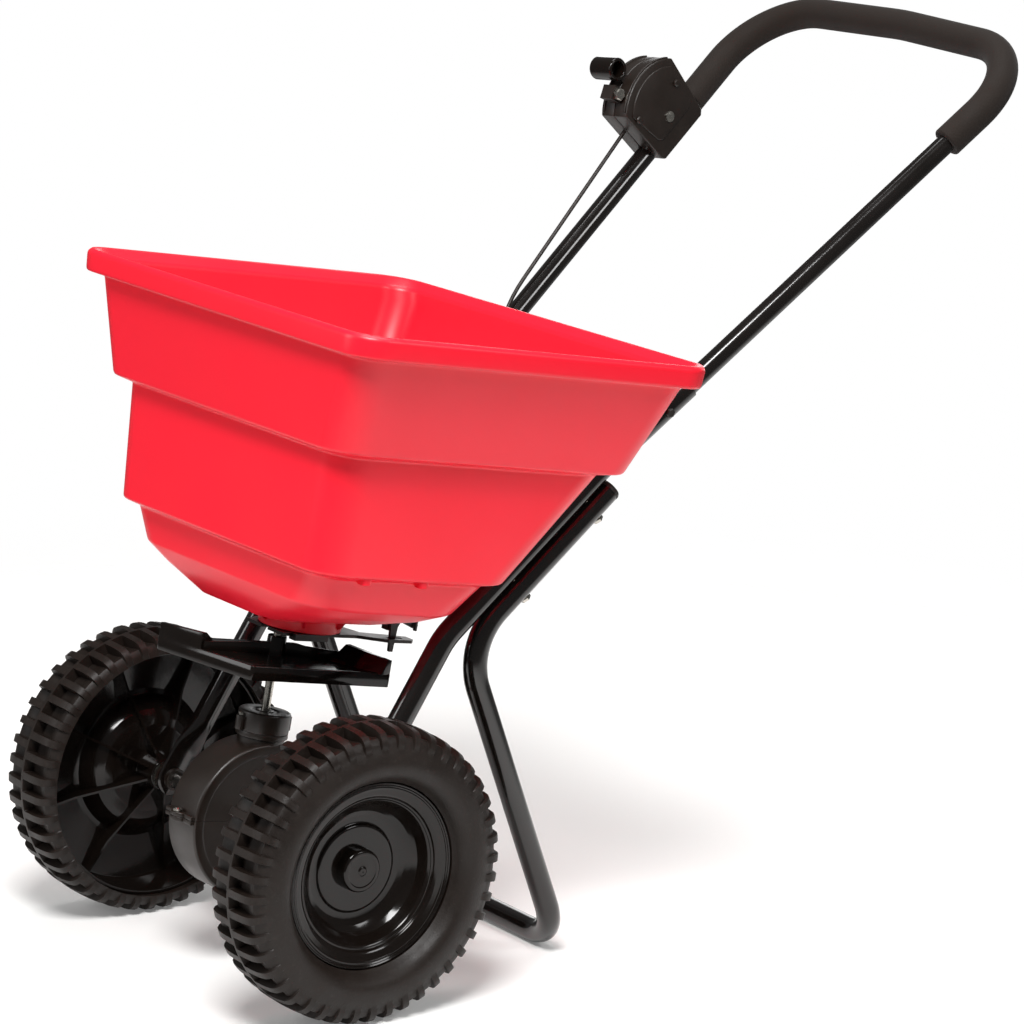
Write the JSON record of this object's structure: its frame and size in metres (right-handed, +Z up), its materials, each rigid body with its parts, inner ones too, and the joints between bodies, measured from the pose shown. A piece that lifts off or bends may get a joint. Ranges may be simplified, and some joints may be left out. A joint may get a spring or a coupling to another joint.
{
  "type": "garden spreader",
  "caption": "Walk-behind broadcast spreader: stepped moulded hopper over a geared spinning disc, between two lugged wheels, with a tube frame, rear stand and U handle.",
  "frame": {"origin": "on the ground, under the middle of the spreader's overall length and width; the axle is 0.3009 m in front of it and 0.135 m up", "axes": "+Z up, +Y towards the handle and the person pushing, -Y the direction of travel, +X across, towards the driven wheel"},
  "size_m": [0.4882, 0.8716, 0.8413],
  "materials": {
    "hopper_red": "satin moulded plastic, bright red",
    "moulded_black": "glossy black moulding",
    "housing_black": "fine matte black moulding",
    "painted_tube": "gloss black powder coat",
    "tyre_rubber": "matte black rubber",
    "foam": "fine closed-cell foam, matte black",
    "zinc": "bright zinc plate",
    "steel": "turned steel bar"
  },
  "bodies": {
    "frame": {"axle_bush_left": "housing_black", "axle_bush_right": "housing_black", "axle_washer_left": "zinc", "axle_washer_right": "zinc", "box_screw_1": "zinc", "box_screw_2": "housing_black", "cap_screw_front": "zinc", "cap_screw_rear": "zinc", "control_shell_inner": "housing_black", "control_shell_outer": "housing_black", "crank_bracket": "housing_black", "crank_pin": "zinc", "foam_grip": "foam", "frame_tube_left": "painted_tube", "frame_tube_right": "painted_tube", "gearbox_lower": "housing_black", "gearbox_screw_front": "zinc", "gearbox_screw_rear": "zinc", "gearbox_upper": "housing_black", "handle_bolt_left": "housing_black", "handle_bolt_right": "housing_black", "handle_tube": "painted_tube", "hopper": "hopper_red", "lever_pivot_screw": "zinc", "pinion_cap": "housing_black", "pinion_housing": "housing_black", "plate_guide_left": "housing_black", "plate_guide_right": "housing_black", "stand_bolt_left_1": "zinc", "stand_bolt_left_2": "zinc", "stand_bolt_right_1": "zinc", "stand_bolt_right_2": "zinc", "stand_plug_left": "housing_black", "stand_plug_right": "housing_black", "stand_tube": "painted_tube"},
    "drive_axle": {"axle": "steel", "wheel_left": "moulded_black", "tyre_left": "tyre_rubber", "hub_cap_left": "moulded_black", "crown_gear": "housing_black"},
    "free_wheel": {"wheel_right": "moulded_black", "tyre_right": "tyre_rubber", "hub_cap_right": "moulded_black"},
    "impeller_set": {"impeller": "moulded_black", "impeller_shaft": "zinc", "pinion_gear": "housing_black", "agitator_pin": "zinc", "impeller_pin": "zinc"},
    "lever": {"lever_arm": "housing_black", "lever_knob": "moulded_black"},
    "stop": {"stop_block": "housing_black", "stop_bolt": "zinc"},
    "rod": {"link_rod": "housing_black"},
    "crank": {"plate_crank": "housing_black"},
    "gate": {"shut_off_plate": "housing_black"}
  },
  "joints": [
    {"name": "axle_spin", "type": "hinge", "parent": "frame", "child": "drive_axle", "pos_m": [0, -0.3009, 0.135], "axis": [1, 0, 0], "continuous": true},
    {"name": "free_wheel_spin", "type": "hinge", "parent": "frame", "child": "free_wheel", "pos_m": [0, -0.3009, 0.135], "axis": [1, 0, 0], "continuous": true},
    {"name": "impeller_spin", "type": "hinge", "parent": "frame", "child": "impeller_set", "pos_m": [0, -0.3009, 0.135], "axis": [0, 0.1478, 0.989], "continuous": true},
    {"name": "lever_turn", "type": "hinge", "parent": "frame", "child": "lever", "pos_m": [-0.17619, 0.26927, 0.72582], "axis": [-0.993, -0.0906, -0.0757], "range_deg": [-3, 38]},
    {"name": "stop_turn", "type": "hinge", "parent": "frame", "child": "stop", "pos_m": [-0.17619, 0.26927, 0.72582], "axis": [0.993, 0.0906, 0.0757], "range_deg": [0, 8]},
    {"name": "rod_slide", "type": "slide", "parent": "frame", "child": "rod", "axis": [-0.1181, 0.7618, 0.637], "range_m": [-0.002, 0.0185]},
    {"name": "crank_turn", "type": "hinge", "parent": "frame", "child": "crank", "pos_m": [0.036, -0.17174, 0.3159], "axis": [1, 0, 0], "range_deg": [-4, 42]},
    {"name": "gate_slide", "type": "slide", "parent": "frame", "child": "gate", "axis": [0, 0.989, -0.1478], "range_m": [-0.0015, 0.0165]}
  ],
  "couplings": [
    {"joint": "impeller_spin", "follows": "axle_spin", "ratio": -4},
    {"joint": "rod_slide", "follows": "lever_turn", "m_per_rad": 0.0271},
    {"joint": "crank_turn", "follows": "lever_turn", "ratio": 1.0966},
    {"joint": "gate_slide", "follows": "lever_turn", "m_per_rad": 0.02413}
  ]
}
